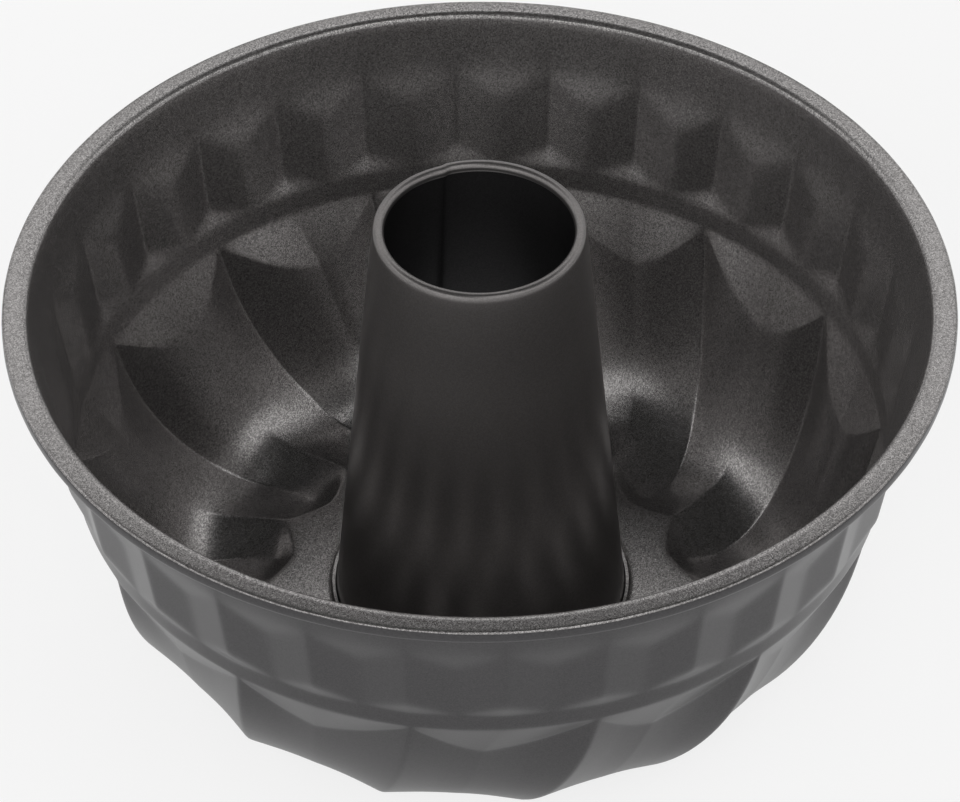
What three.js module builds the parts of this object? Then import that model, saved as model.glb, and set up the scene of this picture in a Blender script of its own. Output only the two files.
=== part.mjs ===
import * as THREE from 'three';

// A ring cake tin with a chimney, in millimetres, standing on z = 0 with its axis on +Z.
// Two pieces of coated sheet steel: the drawn pan and the conical chimney fixed in its floor.

// Sheet and overall sizes.
const RIM_RADIUS = 110;
const PAN_HEIGHT = 94;
const SHEET = 0.7;
const FIT_GAP = 0.3;

// Rolled rim: a flat top band, a rolled outer edge with a short straight side, and a return underneath.
const RIM_EDGE_RADIUS = 1.3;
const RIM_SIDE = 0.7;
const RIM_RETURN = 2.0;
const RIM_BAND = 3.0;
const RIM_SHOULDER_RADIUS = 1.9;

// Plain wall below the rim and the ring of small flutes, as depths below the rim top.
const WALL_DRAFT_DEG = 10.2;
const PLAIN_DEPTH = 12.6;
const GROOVE_TOP_DEPTH = 15.9;
const RIDGE_TOP_DEPTH = 21.8;
const GROOVE_FOOT_DEPTH = 34.7;
const RIDGE_FOOT_DEPTH = 38.4;
const FLUTE_FOLD = 1.8;
const RING_TOP_DEPTH = 39.4;
const RING_FOOT_DEPTH = 44.6;
const RING_TOP_INSET = 1.7;
const RING_FOOT_INSET = 1.6;

// Swirled lobes between the ring and the floor.
const LOBE_COUNT = 14;
const VALLEY_DROP = 0.8;
const VALLEY_DRAFT_DEG = 9.3;
const VALLEY_REACH = 29.5;
const VALLEY_FOOT_REACH = 14.2;
const LOBE_TOP_INSET = 6.6;
const LOBE_TOP_DROP = 12.5;
const LOBE_DRAFT_DEG = 16.2;
const LOBE_REACH = 22.2;
const LOBE_FOOT_REACH = 12.6;
const SWIRL_DEG_PER_MM = 0.44;
const SWIRL_EASE_PER_MM = 0.004;
const SWIRL_END_RADIUS = 58.4;
const FIRST_VALLEY_DEG = 3.23;

// Floor: lifted, with a toothed edge. The valleys run on below it and end in toes, which the tin stands on.
const FLOOR_LIFT = 3.5;
const HOLLOW_RADIUS = 45.8;
const TOE_WALL = 4.7;
const TOE_LENGTH = 7.0;
const TOE_LEAD = 3.5;
const TOE_FLAT = 0.25;
const TIP_REACH = 5.3;
const CREST_END = 2.4;
const CREST_LENGTH = 4.0;
const CREST_LEAD = 4.5;

// Chimney and the collar of the floor that holds it.
const CHIMNEY_HEIGHT = 116.7;
const CHIMNEY_TOP_RADIUS = 24.6;
const CHIMNEY_FOOT_RADIUS = 34.4;
const CHIMNEY_CURL_RADIUS = 1.4;
const CHIMNEY_CURL_SWEEP_DEG = 250;
const CHIMNEY_FLANGE = 4.2;
const COLLAR_HEIGHT = 1.6;
const COLLAR_BEND = 0.8;

// How finely the curves are divided.
const COLUMNS_PER_LOBE = 8;
const RIM_EDGE_STEPS = 2;
const SHOULDER_STEPS = 2;
const LOBE_STEPS = 6;
const BEND_STEPS = 1;
const CHIMNEY_COLUMNS = 56;
const CURL_STEPS = 6;

// Colours of the dark coating.
const PAN_COLOUR = 0x3d3d3f;
const CHIMNEY_COLOUR = 0x39393b;
const COATING_ROUGHNESS = 0.42;
const COATING_METALNESS = 0.55;

const TURN = 2 * Math.PI;
const HALF = 0.5;
const QUARTER_TURN = TURN / 4;
const rad = THREE.MathUtils.degToRad;
const COLUMNS = LOBE_COUNT * COLUMNS_PER_LOBE;
const COLUMNS_PER_FLUTE = COLUMNS_PER_LOBE * HALF;
const FIRST_VALLEY = rad(FIRST_VALLEY_DEG);
const SWIRL = rad(SWIRL_DEG_PER_MM);
const floorTop = FLOOR_LIFT + SHEET;

// Radii of the toes under the valleys and of the crests of the ridges, from the floor's edge outward.
const toeEndRadius = HOLLOW_RADIUS + TOE_WALL;
const toeStartRadius = toeEndRadius + TOE_LENGTH;
const valleyFoot = new THREE.Vector2(toeStartRadius + TOE_LEAD, SHEET);
const tipRadius = HOLLOW_RADIUS + TIP_REACH;
const crestEndRadius = tipRadius + CREST_END;
const crestStartRadius = crestEndRadius + CREST_LENGTH;
const lobeFoot = new THREE.Vector2(crestStartRadius + CREST_LEAD, floorTop);

// Meridian points of the inside face that several rows share.
const shoulderRadius = RIM_RADIUS - RIM_EDGE_RADIUS - RIM_BAND;
const wallDraft = rad(WALL_DRAFT_DEG);
const wallTopRadius = shoulderRadius - RIM_SHOULDER_RADIUS * Math.cos(wallDraft);
const wallTopDepth = RIM_SHOULDER_RADIUS * (1 - Math.sin(wallDraft));
const wallRadius = (depth) => wallTopRadius - Math.tan(wallDraft) * (depth - wallTopDepth);
const ringTopRadius = wallRadius(RING_TOP_DEPTH) - RING_TOP_INSET;
const ringFootRadius = wallRadius(RING_FOOT_DEPTH) - RING_FOOT_INSET;
const valleyTop = new THREE.Vector2(ringFootRadius, PAN_HEIGHT - RING_FOOT_DEPTH - VALLEY_DROP);
const lobeTop = new THREE.Vector2(ringFootRadius - LOBE_TOP_INSET, valleyTop.y - LOBE_TOP_DROP);

// How far valleys and ridges are swirled at a radius. The ridges straighten a little on their way in.
const valleyTurn = (radius) =>
  -SWIRL * (valleyTop.x - THREE.MathUtils.clamp(radius, SWIRL_END_RADIUS, valleyTop.x));
function ridgeTurn(radius) {
  const run = valleyTop.x - Math.min(radius, valleyTop.x);
  return -SWIRL * run * (1 - SWIRL_EASE_PER_MM * run);
}

// A meridian that leaves its top at a draft angle and runs out level at its foot.
function meridian(top, draftDeg, reach, footReach, foot) {
  const draft = rad(draftDeg);
  const leave = new THREE.Vector2(top.x - reach * Math.sin(draft), top.y - reach * Math.cos(draft));
  const arrive = new THREE.Vector2(foot.x + footReach, foot.y);
  return new THREE.CubicBezierCurve(top, leave, arrive, foot);
}
const valleyLine = meridian(valleyTop, VALLEY_DRAFT_DEG, VALLEY_REACH, VALLEY_FOOT_REACH, valleyFoot);
const lobeLine = meridian(lobeTop, LOBE_DRAFT_DEG, LOBE_REACH, LOBE_FOOT_REACH, lobeFoot);

const polar = (radius, angle, z) =>
  new THREE.Vector3(radius * Math.cos(angle), radius * Math.sin(angle), z);

const columnAngle = (column) => FIRST_VALLEY + (column / COLUMNS) * TURN;

// One row of the sheet: a plain circle.
function circleRow(radius, z, turn = 0) {
  const row = [];
  for (let column = 0; column < COLUMNS; column += 1) {
    row.push(polar(radius, columnAngle(column) + turn, z));
  }
  return row;
}

// One row of the sheet: folds between outer corners and inner corners, flat for a share beside the outer.
function foldedRow(period, outer, inner, flat = 0) {
  const half = period * HALF;
  const row = [];
  for (let column = 0; column < COLUMNS; column += 1) {
    const within = column % period;
    const start = column - within;
    const weight = within <= half ? within / half : (period - within) / half;
    const corner = within <= half ? start : start + period;
    const middle = start + half;
    const from = polar(outer.x, columnAngle(corner) + valleyTurn(outer.x), outer.y);
    const to = polar(inner.x, columnAngle(middle) + ridgeTurn(inner.x), inner.y);
    const rise = Math.max(weight - flat, 0) / (1 - flat);
    const height = THREE.MathUtils.lerp(outer.y, inner.y, rise);
    row.push(from.lerp(to, weight).setZ(height));
  }
  return row;
}

const fluteCorner = (depth, fold) =>
  new THREE.Vector2(wallRadius(depth) - fold, PAN_HEIGHT - depth);

// A row of the flutes stands straight above the lobes, with no swirl.
const fluteRow = (grooveDepth, ridgeDepth) =>
  foldedRow(COLUMNS_PER_FLUTE, fluteCorner(grooveDepth, 0), fluteCorner(ridgeDepth, FLUTE_FOLD));

// A row of the toes: level with the table beside the valley and up to the floor at the ridge.
const toeRow = (toeRadius, crestRadius) => foldedRow(
  COLUMNS_PER_LOBE, new THREE.Vector2(toeRadius, SHEET), new THREE.Vector2(crestRadius, floorTop),
  TOE_FLAT);

// The bend where the floor turns up into the collar, shared by the collar and the chimney foot.
const bendOuter = COLLAR_BEND + SHEET + FIT_GAP;
const bendHeight = floorTop + COLLAR_BEND;
const chimneySlope = Math.atan2(
  CHIMNEY_FOOT_RADIUS - CHIMNEY_TOP_RADIUS, CHIMNEY_HEIGHT - CHIMNEY_CURL_RADIUS - bendHeight);
const bendCentre = new THREE.Vector2(
  CHIMNEY_FOOT_RADIUS + bendOuter / Math.cos(chimneySlope), bendHeight);
const alongChimney = new THREE.Vector2(-Math.sin(chimneySlope), Math.cos(chimneySlope));
const towardChimney = new THREE.Vector2(-Math.cos(chimneySlope), -Math.sin(chimneySlope));

// A point of the bend at a distance from its centre, from the floor side (0) to the chimney side (1).
function bendPoint(distance, share) {
  const floorSide = TURN - QUARTER_TURN;
  const chimneySide = HALF * TURN + chimneySlope;
  const angle = THREE.MathUtils.lerp(floorSide, chimneySide, share);
  return new THREE.Vector2(
    bendCentre.x + distance * Math.cos(angle), bendCentre.y + distance * Math.sin(angle));
}

// The inside face of the pan, row by row from the hidden rim return to the top of the collar.
function panFace() {
  const rows = [];
  const edgeRadius = RIM_RADIUS - RIM_EDGE_RADIUS;
  const sideTop = PAN_HEIGHT - RIM_EDGE_RADIUS;
  const sideFoot = sideTop - RIM_SIDE;
  rows.push(circleRow(edgeRadius - RIM_RETURN, sideFoot - RIM_EDGE_RADIUS));
  [[-QUARTER_TURN, sideFoot], [0, sideTop]].forEach(([start, height]) => {
    for (let step = 0; step <= RIM_EDGE_STEPS; step += 1) {
      const angle = start + (step / RIM_EDGE_STEPS) * QUARTER_TURN;
      rows.push(circleRow(
        edgeRadius + RIM_EDGE_RADIUS * Math.cos(angle), height + RIM_EDGE_RADIUS * Math.sin(angle)));
    }
  });
  for (let step = 0; step <= SHOULDER_STEPS; step += 1) {
    const angle = QUARTER_TURN + (step / SHOULDER_STEPS) * (QUARTER_TURN - wallDraft);
    rows.push(circleRow(
      shoulderRadius + RIM_SHOULDER_RADIUS * Math.cos(angle),
      PAN_HEIGHT - RIM_SHOULDER_RADIUS + RIM_SHOULDER_RADIUS * Math.sin(angle)));
  }
  rows.push(circleRow(wallRadius(PLAIN_DEPTH), PAN_HEIGHT - PLAIN_DEPTH));
  rows.push(fluteRow(GROOVE_TOP_DEPTH, RIDGE_TOP_DEPTH));
  rows.push(fluteRow(GROOVE_FOOT_DEPTH, RIDGE_FOOT_DEPTH));
  rows.push(circleRow(ringTopRadius, PAN_HEIGHT - RING_TOP_DEPTH));
  rows.push(circleRow(ringFootRadius, PAN_HEIGHT - RING_FOOT_DEPTH));
  for (let step = 0; step <= LOBE_STEPS; step += 1) {
    const share = step / LOBE_STEPS;
    rows.push(foldedRow(COLUMNS_PER_LOBE, valleyLine.getPoint(share), lobeLine.getPoint(share)));
  }
  rows.push(toeRow(toeStartRadius, crestStartRadius));
  rows.push(toeRow(toeEndRadius, crestEndRadius));
  rows.push(foldedRow(
    COLUMNS_PER_LOBE, new THREE.Vector2(HOLLOW_RADIUS, floorTop),
    new THREE.Vector2(tipRadius, floorTop)));
  const floorTurn = valleyTurn(HOLLOW_RADIUS);
  for (let step = 0; step <= BEND_STEPS; step += 1) {
    const point = bendPoint(COLLAR_BEND, step / BEND_STEPS);
    rows.push(circleRow(point.x, point.y, floorTurn));
  }
  const collarTop = bendCentre.clone().addScaledVector(towardChimney, COLLAR_BEND);
  collarTop.addScaledVector(alongChimney, COLLAR_HEIGHT - COLLAR_BEND);
  rows.push(circleRow(collarTop.x, collarTop.y, floorTurn));
  return rows;
}

// Normals of the four corners of faces that meet at a point, pointing away from the food side.
function cornerNormals(rows, index, column) {
  const here = rows[index][column];
  const corners = [];
  [index - 1, index + 1].filter((next) => next >= 0 && next < rows.length).forEach((next) => {
    [1, -1].forEach((side) => {
      const beside = rows[index][(column + side + COLUMNS) % COLUMNS];
      const along = new THREE.Vector3().subVectors(rows[next][column], here);
      const around = new THREE.Vector3().subVectors(beside, here);
      corners.push(along.cross(around).multiplyScalar(side * (next - index)).normalize());
    });
  });
  return corners;
}

// The other face of the sheet, one thickness away from every face that meets at a point.
// Where the toes lie on the table it is at the table, and nothing of it reaches below.
function backFace(rows) {
  return rows.map((row, index) => row.map((point, column) => {
    const corners = cornerNormals(rows, index, column);
    const normal = new THREE.Vector3();
    corners.forEach((corner) => normal.add(corner));
    normal.normalize();
    const share = corners.reduce((sum, corner) => sum + corner.dot(normal), 0) / corners.length;
    const back = point.clone().addScaledVector(normal, SHEET / share);
    back.z = point.z > SHEET ? Math.max(back.z, 0) : 0;
    return back;
  }));
}

// A closed skin from rings of points, where the last ring joins the first again.
function closedSkin(rings) {
  const around = rings[0].length;
  const positions = rings.flatMap((ring) => ring.flatMap((point) => point.toArray()));
  const triangles = [];
  rings.forEach((ring, index) => {
    const next = (index + 1) % rings.length;
    ring.forEach((point, column) => {
      const beside = (column + 1) % around;
      const a = index * around + column;
      const b = index * around + beside;
      const c = next * around + beside;
      const d = next * around + column;
      triangles.push(a, b, c, a, c, d);
    });
  });
  const geometry = new THREE.BufferGeometry();
  geometry.setAttribute('position', new THREE.Float32BufferAttribute(positions, 3));
  geometry.setIndex(triangles);
  geometry.computeVertexNormals();
  return geometry;
}

function panGeometry() {
  const face = panFace();
  return closedSkin([...face, ...backFace(face).reverse()]);
}

// The chimney: a flange under the floor, the bend through the hole, the cone and the curled top.
function chimneyGeometry() {
  const facing = bendOuter;
  const away = bendOuter + SHEET;
  const outside = [];
  const inside = [];
  const flange = new THREE.Vector2(CHIMNEY_FLANGE, 0);
  outside.push(bendPoint(facing, 0).add(flange));
  inside.push(bendPoint(away, 0).add(flange));
  for (let step = 0; step <= BEND_STEPS; step += 1) {
    outside.push(bendPoint(facing, step / BEND_STEPS));
    inside.push(bendPoint(away, step / BEND_STEPS));
  }
  const coneLength = (CHIMNEY_HEIGHT - CHIMNEY_CURL_RADIUS - bendHeight) / Math.cos(chimneySlope);
  const curlCentre = bendPoint(facing, 1).addScaledVector(alongChimney, coneLength);
  curlCentre.addScaledVector(towardChimney, CHIMNEY_CURL_RADIUS);
  for (let step = 0; step <= CURL_STEPS; step += 1) {
    const angle = chimneySlope + (step / CURL_STEPS) * rad(CHIMNEY_CURL_SWEEP_DEG);
    const way = new THREE.Vector2(Math.cos(angle), Math.sin(angle));
    outside.push(curlCentre.clone().addScaledVector(way, CHIMNEY_CURL_RADIUS));
    inside.push(curlCentre.clone().addScaledVector(way, CHIMNEY_CURL_RADIUS - SHEET));
  }
  const profile = [...outside, ...inside.reverse()];
  const rings = profile.map((point) => {
    const ring = [];
    for (let column = 0; column < CHIMNEY_COLUMNS; column += 1) {
      ring.push(polar(point.x, FIRST_VALLEY + (column / CHIMNEY_COLUMNS) * TURN, point.y));
    }
    return ring;
  });
  return closedSkin(rings);
}

function piece(name, geometry, colour) {
  const material = new THREE.MeshStandardMaterial({
    color: colour,
    roughness: COATING_ROUGHNESS,
    metalness: COATING_METALNESS,
  });
  const mesh = new THREE.Mesh(geometry, material);
  mesh.name = name;
  return mesh;
}

const tin = new THREE.Group();
tin.name = 'ring_cake_tin';
tin.add(piece('pan_shell', panGeometry(), PAN_COLOUR));
tin.add(piece('chimney_tube', chimneyGeometry(), CHIMNEY_COLOUR));

export default tin;
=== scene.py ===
import cmath
import math
from collections import defaultdict

import bmesh
import bpy
from mathutils import Matrix, Vector
from mathutils.geometry import interpolate_bezier


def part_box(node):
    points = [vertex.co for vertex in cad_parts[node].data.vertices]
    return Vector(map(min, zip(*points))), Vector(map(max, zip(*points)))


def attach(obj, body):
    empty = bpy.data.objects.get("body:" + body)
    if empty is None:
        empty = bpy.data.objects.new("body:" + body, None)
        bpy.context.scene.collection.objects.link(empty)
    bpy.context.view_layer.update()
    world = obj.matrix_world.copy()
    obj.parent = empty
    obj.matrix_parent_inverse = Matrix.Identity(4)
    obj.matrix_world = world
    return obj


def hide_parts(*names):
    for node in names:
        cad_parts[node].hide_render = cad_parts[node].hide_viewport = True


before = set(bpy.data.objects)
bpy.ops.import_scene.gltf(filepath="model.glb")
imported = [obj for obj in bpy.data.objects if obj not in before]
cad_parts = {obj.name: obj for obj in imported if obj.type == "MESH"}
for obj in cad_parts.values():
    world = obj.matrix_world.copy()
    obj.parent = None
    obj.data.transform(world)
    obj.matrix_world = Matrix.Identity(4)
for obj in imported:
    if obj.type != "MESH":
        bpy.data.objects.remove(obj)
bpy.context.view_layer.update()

# Sizes in metres. The frame gives the overall ones, and the rest are written in millimetres.
MM = 0.001
RIM_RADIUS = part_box("pan_shell")[1].x
PAN_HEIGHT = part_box("pan_shell")[1].z
SHEET = 0.7 * MM
FIT_GAP = 0.3 * MM

# Rolled rim.
RIM_EDGE_RADIUS = 0.8 * MM
RIM_SIDE = 1.7 * MM
RIM_RETURN = 2.5 * MM
RIM_BAND = 3.5 * MM
RIM_SLOPE = math.radians(4)
RIM_SHOULDER_RADIUS = 1.9 * MM

# Plain wall, small flutes and the ring below them, as depths below the rim top.
WALL_DRAFT = math.radians(10.2)
PLAIN_DEPTH = 12.6 * MM
GROOVE_TOP_DEPTH = 15.9 * MM
RIDGE_TOP_DEPTH = 21.8 * MM
GROOVE_FOOT_DEPTH = 34.7 * MM
RIDGE_FOOT_DEPTH = 38.4 * MM
FLUTE_FOLD = 1.8 * MM
FLUTES_PER_LOBE = 2
RING_TOP_DEPTH = 39.4 * MM
RING_FOOT_DEPTH = 44.6 * MM
RING_TOP_INSET = 1.7 * MM
RING_FOOT_INSET = 1.6 * MM

# Swirled lobes between the ring and the floor.
LOBES = 14
LOBE_TURN = math.tau / LOBES
VALLEY_DROP = 0.8 * MM
VALLEY_DRAFT = math.radians(9.3)
VALLEY_REACH = 29.5 * MM
VALLEY_FOOT_REACH = 14.2 * MM
VALLEY_FOOT_RADIUS = 61.0 * MM
LOBE_TOP_INSET = 6.6 * MM
LOBE_TOP_DROP = 12.5 * MM
LOBE_DRAFT = math.radians(16.2)
LOBE_REACH = 22.2 * MM
LOBE_FOOT_REACH = 12.6 * MM
LOBE_FOOT_RADIUS = 62.0 * MM
LOBE_STEPS = 12
LOBE_SWELL = 0.8
SWIRL = math.radians(0.44) / MM
SWIRL_EASE = 0.004 / MM
SWIRL_END_RADIUS = 58.4 * MM
FIRST_VALLEY = math.radians(3.23)

# Lifted floor with a toothed edge, and the toes in which the valleys end below it.
FLOOR_LIFT = 3.5 * MM
TOE_START_RADIUS = 57.5 * MM
TOE_END_RADIUS = 50.5 * MM
TOE_SOFTNESS = 0.3
TOE_RISE = 0.18
TIP_RADIUS = 51.1 * MM
TIP_RUN = 2.4 * MM
HOLLOW_RADIUS = 45.2 * MM
HOLLOW_ROUNDING = 0.8 * MM
HOLLOW_SHARE = 0.4

# Chimney and the collar of the floor that holds it.
CHIMNEY_HEIGHT = 116.7 * MM
CHIMNEY_TOP_RADIUS = 24.6 * MM
CHIMNEY_FOOT_RADIUS = 34.4 * MM
CHIMNEY_CURL_RADIUS = 1.4 * MM
CHIMNEY_CURL_SWEEP = math.radians(250)
CHIMNEY_FLANGE = 4.2 * MM
COLLAR_HEIGHT = 1.6 * MM
COLLAR_BEND = 0.8 * MM

# The chimney's lap seam: where it is, how far its edge steps in and how wide the step fades out.
SEAM_TURN = math.radians(110.5)
SEAM_STEP = 0.45 * MM
SEAM_EDGE = math.radians(1.0)
SEAM_FADE = 9.0 * MM

# Heights of the cone's rings as shares of its length, closer together beside its bends.
CONE_SHARES = (0.04, 0.25, 0.5, 0.75, 0.96)

# Columns of one lobe as shares of its turn, closer together beside each fold.
HALF_LOBE_COLUMNS = (0.0, 0.04, 0.2, 0.4, 0.5, 0.6, 0.8, 0.96)
LOBE_COLUMNS = [(half + share) / 2 for half in (0, 1) for share in HALF_LOBE_COLUMNS]
CHIMNEY_COLUMN_COUNT = 96

# Steps of the round stretches, and how a grown skin is smoothed.
ARC_STEPS = 3
SMALL_ARC_STEPS = 2
CURL_STEPS = 9
SUBDIVISIONS = 1
CREASE_ANGLE = math.radians(50)

# Shares of the way from one ring to the next at which a fold is held crisp.
NEAR = 0.12
FAR = 0.88


# Rings of a skin: each is a list of (radius, turn, height), one for each kind of column.

def plain_ring(radius, height, lean=0.0):
    """A round ring, turned by lean."""
    return [(radius, share * LOBE_TURN + lean, height) for share in LOBE_COLUMNS]


def folded(outer, inner, folds, softness=0.0, rounding=0.0, swell=0.0):
    """A ring of folds between outer and inner corners, with so many folds to a lobe.

    The softness rounds the bottom of each fold, the rounding fills its outer corner in plan, and the
    swell bows its sides, fully at 1, where they meet in a round ridge.
    """
    step = LOBE_TURN / folds
    ring = []
    for share in LOBE_COLUMNS:
        fold = math.floor(share * folds)
        within = share * folds - fold
        straight = 1 - abs(2 * within - 1)
        weight = straight + swell * (math.sin(straight * math.pi / 2) - straight)
        corner = (fold + round(within)) * step + valley_turn(outer.x)
        middle = (fold + 0.5) * step + ridge_turn(inner.x)
        spot = cmath.rect(outer.x, corner) * (1 - straight) + cmath.rect(inner.x, middle) * straight
        bow = (inner.x - outer.x) * (weight - straight)
        filled = abs(spot) + bow + rounding * max(0, 1 - weight / HOLLOW_SHARE) ** 2
        rise = (math.hypot(weight, softness) - softness) / (math.hypot(1, softness) - softness)
        ring.append((filled, cmath.phase(spot), outer.y + (inner.y - outer.y) * rise))
    return ring


def between(first, second, share):
    """The ring part of the way from one ring to another."""
    return [tuple(a + (b - a) * share for a, b in zip(*pair)) for pair in zip(first, second)]


# Points of the pan's meridian that several rings share.

SHOULDER_RADIUS = RIM_RADIUS - RIM_EDGE_RADIUS - RIM_BAND
WALL_TOP_RADIUS = SHOULDER_RADIUS - RIM_SHOULDER_RADIUS * math.cos(WALL_DRAFT)
WALL_TOP_DEPTH = RIM_SHOULDER_RADIUS * (1 - math.sin(WALL_DRAFT))


def wall_radius(depth):
    return WALL_TOP_RADIUS - math.tan(WALL_DRAFT) * (depth - WALL_TOP_DEPTH)


RING_TOP_RADIUS = wall_radius(RING_TOP_DEPTH) - RING_TOP_INSET
RING_FOOT_RADIUS = wall_radius(RING_FOOT_DEPTH) - RING_FOOT_INSET
VALLEY_TOP = Vector((RING_FOOT_RADIUS, PAN_HEIGHT - RING_FOOT_DEPTH - VALLEY_DROP))
LOBE_TOP = VALLEY_TOP - Vector((LOBE_TOP_INSET, LOBE_TOP_DROP))
FLOOR_TOP = FLOOR_LIFT + SHEET


def valley_turn(radius):
    """How far the valleys are swirled at a radius."""
    return -SWIRL * (VALLEY_TOP.x - min(max(radius, SWIRL_END_RADIUS), VALLEY_TOP.x))


def ridge_turn(radius):
    """How far the ridges are swirled, which straighten a little on their way in."""
    run = VALLEY_TOP.x - min(radius, VALLEY_TOP.x)
    return -SWIRL * run * (1 - SWIRL_EASE * run)


def meridian(top, draft, reach, foot_reach, foot):
    """A line that leaves its top at a draft angle and runs out level at its foot."""
    leave = top - Vector((math.sin(draft), math.cos(draft))) * reach
    arrive = foot + Vector((foot_reach, 0))
    return interpolate_bezier(top, leave, arrive, foot, LOBE_STEPS + 1)


def arc(centre, radius, start, end, steps):
    """Points of a round stretch of a meridian."""
    points = []
    for step in range(steps + 1):
        angle = start + (end - start) * step / steps
        points.append(centre + Vector((math.cos(angle), math.sin(angle))) * radius)
    return points


# The bend in which the floor turns up into the collar and the chimney comes through it.

BEND_HEIGHT = FLOOR_TOP + COLLAR_BEND
CONE_HEIGHT = CHIMNEY_HEIGHT - CHIMNEY_CURL_RADIUS - BEND_HEIGHT
CONE_SLOPE = math.atan2(CHIMNEY_FOOT_RADIUS - CHIMNEY_TOP_RADIUS, CONE_HEIGHT)
CHIMNEY_BEND = COLLAR_BEND + SHEET + FIT_GAP
BEND_CENTRE = Vector((CHIMNEY_FOOT_RADIUS + CHIMNEY_BEND / math.cos(CONE_SLOPE), BEND_HEIGHT))
ALONG_CONE = Vector((-math.sin(CONE_SLOPE), math.cos(CONE_SLOPE)))
FLOOR_SIDE = 1.5 * math.pi
CONE_SIDE = math.pi + CONE_SLOPE


def rim_rings():
    """From the hidden return under the rim, round its edge, over the band and into the wall."""
    band_faces = math.pi / 2 - RIM_SLOPE
    band_normal = Vector((math.cos(band_faces), math.sin(band_faces)))
    band_outward = Vector((band_normal.y, -band_normal.x))
    shoulder = Vector((SHOULDER_RADIUS, PAN_HEIGHT - RIM_SHOULDER_RADIUS))
    bend = arc(shoulder, RIM_SHOULDER_RADIUS, band_faces, math.pi - WALL_DRAFT, ARC_STEPS)
    side_top = bend[0] + band_outward * RIM_BAND - band_normal * RIM_EDGE_RADIUS
    side_foot = side_top - Vector((0, RIM_SIDE))
    points = [side_foot - Vector((RIM_RETURN, RIM_EDGE_RADIUS))]
    points += arc(side_foot, RIM_EDGE_RADIUS, -math.pi / 2, 0, SMALL_ARC_STEPS)
    points += arc(side_top, RIM_EDGE_RADIUS, 0, band_faces, ARC_STEPS)
    band = [points[-1].lerp(bend[0], share) for share in (NEAR, FAR)]
    points += band + bend
    return [plain_ring(*point) for point in points]


def flute_corner(depth, fold):
    return Vector((wall_radius(depth) - fold, PAN_HEIGHT - depth))


def flute_rings():
    """The plain wall, the small flutes and the ring under them."""
    plain = plain_ring(wall_radius(PLAIN_DEPTH), PAN_HEIGHT - PLAIN_DEPTH)
    tops = flute_corner(GROOVE_TOP_DEPTH, 0), flute_corner(RIDGE_TOP_DEPTH, FLUTE_FOLD)
    feet = flute_corner(GROOVE_FOOT_DEPTH, 0), flute_corner(RIDGE_FOOT_DEPTH, FLUTE_FOLD)
    top = folded(*tops, FLUTES_PER_LOBE)
    foot = folded(*feet, FLUTES_PER_LOBE)
    ring_top = plain_ring(RING_TOP_RADIUS, PAN_HEIGHT - RING_TOP_DEPTH)
    ring_foot = plain_ring(RING_FOOT_RADIUS, PAN_HEIGHT - RING_FOOT_DEPTH)
    return [
        plain, between(plain, top, 0.5), top, between(top, foot, NEAR), between(top, foot, 0.5),
        between(top, foot, FAR), foot, between(foot, ring_top, 0.5), ring_top,
        between(ring_top, ring_foot, NEAR), between(ring_top, ring_foot, FAR), ring_foot]


def lobe_rings():
    """The swirled lobes, from the facets under the ring to their feet on the floor."""
    ring_foot = plain_ring(RING_FOOT_RADIUS, PAN_HEIGHT - RING_FOOT_DEPTH)
    valley_foot = Vector((VALLEY_FOOT_RADIUS, SHEET))
    ridge_foot = Vector((LOBE_FOOT_RADIUS, FLOOR_TOP))
    valley = meridian(VALLEY_TOP, VALLEY_DRAFT, VALLEY_REACH, VALLEY_FOOT_REACH, valley_foot)
    ridge = meridian(LOBE_TOP, LOBE_DRAFT, LOBE_REACH, LOBE_FOOT_REACH, ridge_foot)
    lobes = []
    for step, (outer, inner) in enumerate(zip(valley, ridge)):
        swell = LOBE_SWELL * math.cos(math.pi / 2 * step / LOBE_STEPS)
        lobes.append(folded(outer, inner, 1, swell=swell))
    facet = [between(ring_foot, lobes[0], share) for share in (NEAR, 0.5, FAR)]
    return [*facet, lobes[0], between(lobes[0], lobes[1], NEAR), *lobes[1:]]


def toe_ring(toe_radius, crest_radius, rise=0.0):
    """A ring of the toes: low and soft along the valleys, at the floor's level along the ridges."""
    toe = Vector((toe_radius, SHEET + rise * FLOOR_LIFT))
    crest = Vector((crest_radius, FLOOR_TOP))
    return folded(toe, crest, 1, TOE_SOFTNESS)


def floor_rings():
    """The toes, the toothed edge of the floor, the floor and the collar round the chimney."""
    toe_start = toe_ring(TOE_START_RADIUS, TOE_START_RADIUS)
    toe_end = toe_ring(TOE_END_RADIUS, TIP_RADIUS + TIP_RUN, TOE_RISE)
    hollow = Vector((HOLLOW_RADIUS, FLOOR_TOP))
    tip = Vector((TIP_RADIUS, FLOOR_TOP))
    edge = folded(hollow, tip, 1, 0, HOLLOW_ROUNDING)
    points = arc(BEND_CENTRE, COLLAR_BEND, FLOOR_SIDE, CONE_SIDE, SMALL_ARC_STEPS)
    points.append(points[-1] + ALONG_CONE * (COLLAR_HEIGHT - COLLAR_BEND))
    collar = [plain_ring(*point, valley_turn(HOLLOW_RADIUS)) for point in points]
    return [
        toe_start, between(toe_start, toe_end, 0.5), toe_end, between(toe_end, edge, 0.5),
        between(toe_end, edge, FAR), edge, between(edge, collar[0], NEAR), between(edge, collar[0], FAR),
        *collar]


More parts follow.
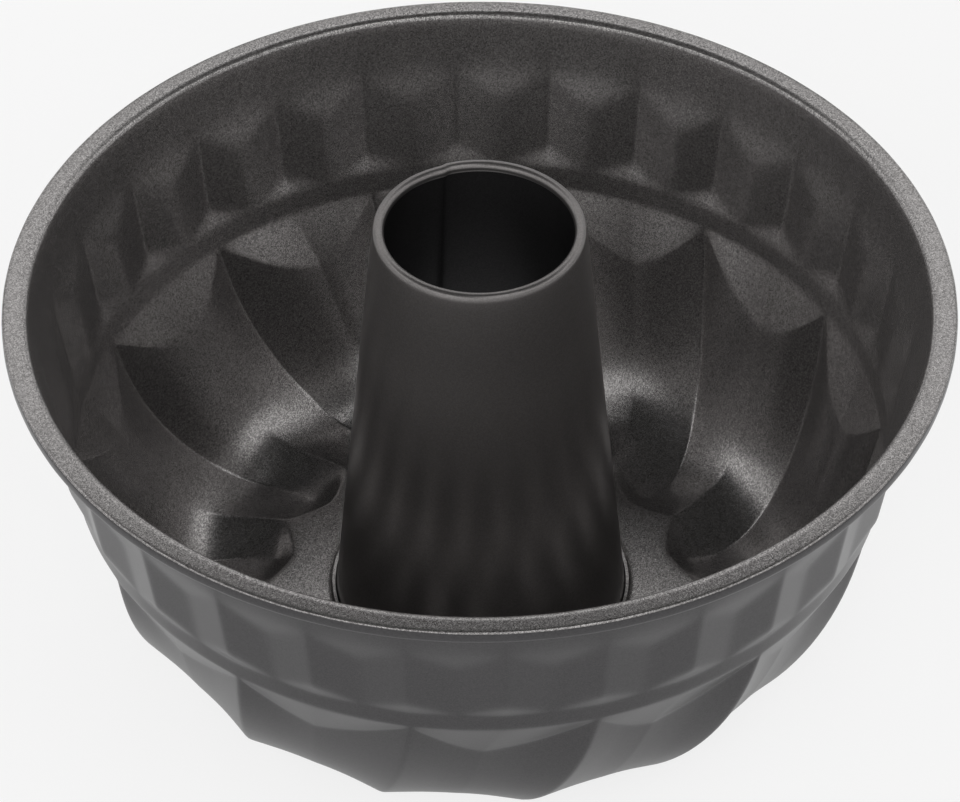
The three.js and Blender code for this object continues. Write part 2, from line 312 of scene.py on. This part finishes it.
def chimney_rings():
    """The flange under the floor, the bend, the cone and the curled lip."""
    foot = arc(BEND_CENTRE, CHIMNEY_BEND, FLOOR_SIDE, CONE_SIDE, ARC_STEPS)
    cone_foot = foot[-1]
    cone_top = cone_foot + ALONG_CONE * (CONE_HEIGHT / math.cos(CONE_SLOPE))
    inward = Vector((-ALONG_CONE.y, ALONG_CONE.x))
    curl = cone_top + inward * CHIMNEY_CURL_RADIUS
    points = [foot[0] + Vector((CHIMNEY_FLANGE, 0)), *foot]
    points += [cone_foot.lerp(cone_top, share) for share in CONE_SHARES]
    points += arc(curl, CHIMNEY_CURL_RADIUS, CONE_SLOPE, CONE_SLOPE + CHIMNEY_CURL_SWEEP, CURL_STEPS)
    return [seamed(radius, height) for radius, height in points]


def seamed(radius, height):
    """A ring of the chimney, with the edge of the blank lapped under itself at the seam."""
    ring = []
    for step in range(CHIMNEY_COLUMN_COUNT):
        turn = (math.tau - SEAM_EDGE) * step / (CHIMNEY_COLUMN_COUNT - 1)
        lap = SEAM_STEP * max(0, 1 - turn * radius / SEAM_FADE)
        ring.append((radius - lap, SEAM_TURN + turn, height))
    return ring


# Skins grown by hand: a circle is added, and each ring is extruded from the last and moved to its place.

def select_only(skin, indices):
    mesh = bmesh.from_edit_mesh(skin.data)
    for vert in mesh.verts:
        vert.select_set(vert.index in indices)
    mesh.select_flush(True)
    bmesh.update_edit_mesh(skin.data)


def selected_columns(skin):
    """The selected points of a skin with the kind of column that each belongs to."""
    mesh = bmesh.from_edit_mesh(skin.data)
    mesh.verts.index_update()
    kind = mesh.verts.layers.int["kind"]
    return [(vert.index, vert[kind]) for vert in mesh.verts if vert.select]


def move_ring(skin, old, new):
    """Moves the selected ring from its old place to its new one, a kind of column at a time."""
    ring = selected_columns(skin)
    moves = defaultdict(set)
    for kind, (here, there) in enumerate(zip(old, new)):
        move = there[0] / here[0], there[1] - here[1], there[2] - here[2]
        moves[tuple(round(value, 9) for value in move)].add(kind)
    for (scale, turn, rise), kinds in moves.items():
        select_only(skin, {index for index, kind in ring if kind in kinds})
        bpy.ops.transform.resize(value=(scale, scale, 1), center_override=(0, 0, 0))
        bpy.ops.transform.rotate(value=-turn, orient_axis="Z", center_override=(0, 0, 0))
        bpy.ops.transform.translate(value=(0, 0, rise))
    select_only(skin, {index for index, kind in ring})


def grow_skin(name, repeats, rings):
    """An open skin through all the rings, as an object of its own."""
    kinds = len(rings[0])
    count = kinds * repeats
    bpy.ops.object.select_all(action="DESELECT")
    bpy.ops.mesh.primitive_circle_add(vertices=count, radius=RIM_RADIUS)
    skin = bpy.context.object
    skin.name = name
    bpy.ops.object.mode_set(mode="EDIT")
    bpy.ops.mesh.select_all(action="SELECT")
    mesh = bmesh.from_edit_mesh(skin.data)
    layer = mesh.verts.layers.int.new("kind")
    for vert in mesh.verts:
        share = math.atan2(vert.co.y, vert.co.x) / math.tau
        vert[layer] = round(share * count) % kinds
    start = [(RIM_RADIUS, math.tau * kind / count, 0.0) for kind in range(kinds)]
    move_ring(skin, start, rings[0])
    for old, new in zip(rings, rings[1:]):
        bpy.ops.mesh.extrude_edges_move()
        move_ring(skin, old, new)
    bpy.ops.object.mode_set(mode="OBJECT")
    skin.data.attributes.remove(skin.data.attributes["kind"])
    return skin


def thicken(skin, face_coat, back_coat):
    """Rounds the folds of a skin, gives it the thickness of the sheet on its back and coats both sides."""
    skin.data.materials.append(face_coat)
    skin.data.materials.append(back_coat)
    smooth = skin.modifiers.new("rounding", "SUBSURF")
    smooth.levels = SUBDIVISIONS
    smooth.render_levels = SUBDIVISIONS
    sheet = skin.modifiers.new("sheet", "SOLIDIFY")
    sheet.thickness = SHEET
    sheet.offset = -1
    sheet.use_even_offset = True
    sheet.use_quality_normals = True
    sheet.material_offset = 1
    for modifier in (smooth.name, sheet.name):
        bpy.ops.object.modifier_apply(modifier=modifier)
    bpy.ops.object.shade_smooth_by_angle(angle=CREASE_ANGLE)


def face_outward(skin, inside):
    """Turns the faces of an open skin over if one halfway along it looks the wrong way."""
    face = skin.data.polygons[len(skin.data.polygons) // 2]
    looks_in = face.normal.dot(Vector((face.center.x, face.center.y, 0))) < 0
    if looks_in != inside:
        bpy.ops.object.mode_set(mode="EDIT")
        bpy.ops.mesh.select_all(action="SELECT")
        bpy.ops.mesh.flip_normals()
        bpy.ops.object.mode_set(mode="OBJECT")


def pan_shell(*coats):
    pan = grow_skin("drawn_pan", LOBES, [*rim_rings(), *flute_rings(), *lobe_rings(), *floor_rings()])
    face_outward(pan, inside=True)
    turn_to_first_valley(pan)
    end_face_coat_on_rim(pan)
    thicken(pan, *coats)
    return pan


def end_face_coat_on_rim(pan):
    """The coat of the face ends on the edge of the rim, and its side has the coat of the back."""
    for face in pan.data.polygons:
        beyond_wall = face.center.xy.length > SHOULDER_RADIUS
        below_edge = face.center.z < PAN_HEIGHT - RIM_EDGE_RADIUS
        face.material_index = int(beyond_wall and below_edge)


def turn_to_first_valley(pan):
    """Turns the pan so that its first valley lies where the frame has it."""
    bpy.ops.object.mode_set(mode="EDIT")
    bpy.ops.mesh.select_all(action="SELECT")
    bpy.ops.transform.rotate(value=-FIRST_VALLEY, orient_axis="Z", center_override=(0, 0, 0))
    bpy.ops.object.mode_set(mode="OBJECT")


def chimney_tube(*coats):
    tube = grow_skin("rolled_chimney", 1, chimney_rings())
    face_outward(tube, inside=False)
    thicken(tube, *coats)
    return tube


# Materials. The flecks and the grain are about as large as those of a sprayed and baked coat.

FLECK_SIZE = 0.26 * MM
GRAIN_SIZE = 0.3 * MM
GRAIN_DEPTH = 0.03 * MM
GRAIN_STRENGTH = 0.35
GRAIN_DETAIL = 2.0
COAT_METALLIC = 0.88


def linear(colour):
    """An sRGB hex colour as linear red, green, blue and alpha."""
    shares = [int(colour[place:place + 2], 16) / 255 for place in (1, 3, 5)]
    return [s / 12.92 if s <= 0.04045 else ((s + 0.055) / 1.055) ** 2.4 for s in shares] + [1.0]


def add_node(tree, kind, settings=(), links=()):
    """Adds a node, sets its properties or its sockets by name or number, and links its sockets."""
    node = tree.nodes.new(kind)
    for name, value in dict(settings).items():
        if isinstance(name, int) or name in node.inputs:
            node.inputs[name].default_value = value
        else:
            setattr(node, name, value)
    for name, source in dict(links).items():
        tree.links.new(source, node.inputs[name])
    return node


def coated_steel(name, base, fleck, roughness):
    """Carbon steel under a sprayed and baked coat: satin and dark, with flecks of a second colour."""
    material = bpy.data.materials.new(name)
    material.use_nodes = True
    tree = material.node_tree
    tree.nodes.clear()
    place = add_node(tree, "ShaderNodeTexCoord")
    cells = add_node(
        tree, "ShaderNodeTexVoronoi", {"Scale": 1 / FLECK_SIZE}, {"Vector": place.outputs["Object"]})
    grain = add_node(
        tree, "ShaderNodeTexNoise", {"Scale": 1 / GRAIN_SIZE, "Detail": GRAIN_DETAIL},
        {"Vector": place.outputs["Object"]})
    shade = add_node(
        tree, "ShaderNodeMix", {"data_type": "RGBA", 6: linear(base), 7: linear(fleck)},
        {"Factor": cells.outputs["Color"]})
    bump = add_node(
        tree, "ShaderNodeBump", {"Strength": GRAIN_STRENGTH, "Distance": GRAIN_DEPTH},
        {"Height": grain.outputs["Fac"]})
    coat = add_node(
        tree, "ShaderNodeBsdfPrincipled", {"Roughness": roughness, "Metallic": COAT_METALLIC},
        {"Base Color": shade.outputs[2], "Normal": bump.outputs["Normal"]})
    add_node(tree, "ShaderNodeOutputMaterial", {}, {"Surface": coat.outputs["BSDF"]})
    return material


def stand_for(piece, node):
    """A finished piece stands for its solid, which is hidden, and rides on the tin's one body."""
    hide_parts(node)
    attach(piece, "root")


# Camera at the photograph's angle: a long lens from the front, looking down into the tin.

CAMERA_PLACE = Vector((0, -1238.05, 1184.76)) * MM
CAMERA_PITCH = math.radians(42.185)
CAMERA_ROLL = math.radians(-0.185)
LENS = 268.7
SENSOR_WIDTH = 36.0
CLIP_END = 20


def add_camera():
    lens = bpy.data.cameras.new("camera")
    lens.lens = LENS
    lens.sensor_fit = "HORIZONTAL"
    lens.sensor_width = SENSOR_WIDTH
    lens.clip_end = CLIP_END
    camera = bpy.data.objects.new("camera", lens)
    bpy.context.scene.collection.objects.link(camera)
    tilt = Matrix.Rotation(math.pi / 2 - CAMERA_PITCH, 4, "X") @ Matrix.Rotation(CAMERA_ROLL, 4, "Z")
    camera.matrix_world = Matrix.Translation(CAMERA_PLACE) @ tilt
    bpy.context.scene.camera = camera


# Floor, background and lights. The floor glows as a white background to the eye and to the metal, and
# less to the metal under and near the tin: a painted shadow in the glow, fading out away from the tin.

FLOOR_SIZE = 8
PAPER = "#f4f4f4"
WHITE = (1, 1, 1, 1)
GLOW_TO_EYE = 0.8
GLOW_TO_METAL = 0.85
# Painted shadow: the floor's glow to the metal is low within the first radius of the tin's axis and full
# beyond the second.
GLOW_IN_PAINTED_SHADOW = 0.35
PAINTED_SHADOW_RADIUS = 55 * MM
PAINTED_SHADOW_FADE_RADIUS = 140 * MM
ROOM_LIGHT = 0.02

# Softboxes stand at one distance round the tin, at three elevations in degrees.
LIGHT_DISTANCE = 1.4
SOFTBOX_SIZE = (0.6, 0.5)
LIGHT_STEP = 30
LOW = 16
MIDDLE = 40
HIGH = 65


def add_floor():
    """A paper floor that keeps the tin's shadow and mixes with a glow by the kind of ray; the glow to the
    metal carries a painted shadow, darker near the tin.
    """
    bpy.ops.object.select_all(action="DESELECT")
    bpy.ops.mesh.primitive_plane_add(size=FLOOR_SIZE)
    floor = bpy.context.object
    floor.name = "floor"
    material = bpy.data.materials.new("white_paper_floor")
    material.use_nodes = True
    tree = material.node_tree
    tree.nodes.clear()
    paper = add_node(tree, "ShaderNodeBsdfDiffuse", {"Color": linear(PAPER)})
    glow = add_node(tree, "ShaderNodeEmission", {"Color": WHITE, "Strength": 1.0})
    path = add_node(tree, "ShaderNodeLightPath")
    to_eye = add_node(
        tree, "ShaderNodeMath", {"operation": "MULTIPLY", 1: GLOW_TO_EYE},
        {0: path.outputs["Is Camera Ray"]})
    place = add_node(tree, "ShaderNodeTexCoord")
    # Painted shadow: by the distance from the tin's axis, the glow that the metal sees fades from a low
    # share under the tin to the full share beside it.
    reach = add_node(
        tree, "ShaderNodeVectorMath", {"operation": "LENGTH"}, {0: place.outputs["Object"]})
    painted_shadow_glow = add_node(
        tree, "ShaderNodeMapRange",
        {"From Min": PAINTED_SHADOW_RADIUS, "From Max": PAINTED_SHADOW_FADE_RADIUS,
         "To Min": GLOW_IN_PAINTED_SHADOW, "To Max": GLOW_TO_METAL},
        {"Value": reach.outputs["Value"]})
    share = add_node(
        tree, "ShaderNodeMath", {"operation": "MULTIPLY_ADD"},
        {0: path.outputs["Is Glossy Ray"], 1: painted_shadow_glow.outputs["Result"], 2: to_eye.outputs[0]})
    mixed = add_node(
        tree, "ShaderNodeMixShader", {},
        {0: share.outputs[0], 1: paper.outputs[0], 2: glow.outputs[0]})
    add_node(tree, "ShaderNodeOutputMaterial", {}, {"Surface": mixed.outputs[0]})
    floor.data.materials.append(material)


def add_world():
    world = bpy.data.worlds.new("studio")
    bpy.context.scene.world = world
    world.use_nodes = True
    tree = world.node_tree
    tree.nodes.clear()
    room = add_node(tree, "ShaderNodeBackground", {"Color": WHITE, "Strength": ROOM_LIGHT})
    add_node(tree, "ShaderNodeOutputWorld", {}, {"Surface": room.outputs[0]})


def add_ring(name, elevation, watts):
    """An even ring of softboxes round the tin at one elevation."""
    for azimuth in range(0, 360, LIGHT_STEP):
        add_softbox(f"{name}_softbox_{azimuth}", azimuth, elevation, watts)


def add_softbox(name, azimuth, elevation, watts):
    """A soft light that faces the middle of the tin."""
    light = bpy.data.lights.new(name, "AREA")
    light.shape = "RECTANGLE"
    light.size, light.size_y = SOFTBOX_SIZE
    light.energy = watts
    lamp = bpy.data.objects.new(name, light)
    bpy.context.scene.collection.objects.link(lamp)
    around = Matrix.Rotation(math.radians(azimuth), 4, "Z")
    upward = Matrix.Rotation(math.radians(-elevation), 4, "Y")
    away = around @ upward @ Vector((LIGHT_DISTANCE, 0, 0))
    place = Matrix.Translation(Vector((0, 0, PAN_HEIGHT / 2)) + away)
    lamp.matrix_world = place @ away.to_track_quat("Z", "Y").to_matrix().to_4x4()


add_camera()

# Non-stick coat with metal flake on the face of the pan: the eye sees a fine sparkle on satin grey.
flecked_coat = coated_steel("flecked_non_stick_coat", "#615f5e", "#bbb8b7", 0.27)
# Non-stick coat with little flake on the chimney: an even charcoal with long, soft highlights.
plain_coat = coated_steel("plain_non_stick_coat", "#767372", "#888584", 0.31)
# Heat-proof lacquer on the back of the sheet: smooth and darker, with broad reflections of the table.
lacquer = coated_steel("exterior_lacquer", "#403f40", "#4e4d4e", 0.3)

stand_for(pan_shell(flecked_coat, lacquer), "pan_shell")
stand_for(chimney_tube(plain_coat, lacquer), "chimney_tube")

add_floor()
add_world()

# Two even rings of weak light, and a few stronger boxes that shape the lobes, the floor and the rim.
add_ring("low", LOW, watts=0.8)
add_ring("middle", MIDDLE, watts=1.0)
add_softbox("back_key", azimuth=60, elevation=LOW, watts=4)
add_softbox("front_key", azimuth=240, elevation=LOW, watts=4)
add_softbox("left_fill", azimuth=210, elevation=LOW, watts=2)
add_softbox("front_fill", azimuth=270, elevation=MIDDLE, watts=2)
add_softbox("back_fill", azimuth=90, elevation=MIDDLE, watts=1.5)
add_softbox("top_fill", azimuth=300, elevation=HIGH, watts=1.5)
bpy.context.scene.view_settings.view_transform = "Standard"
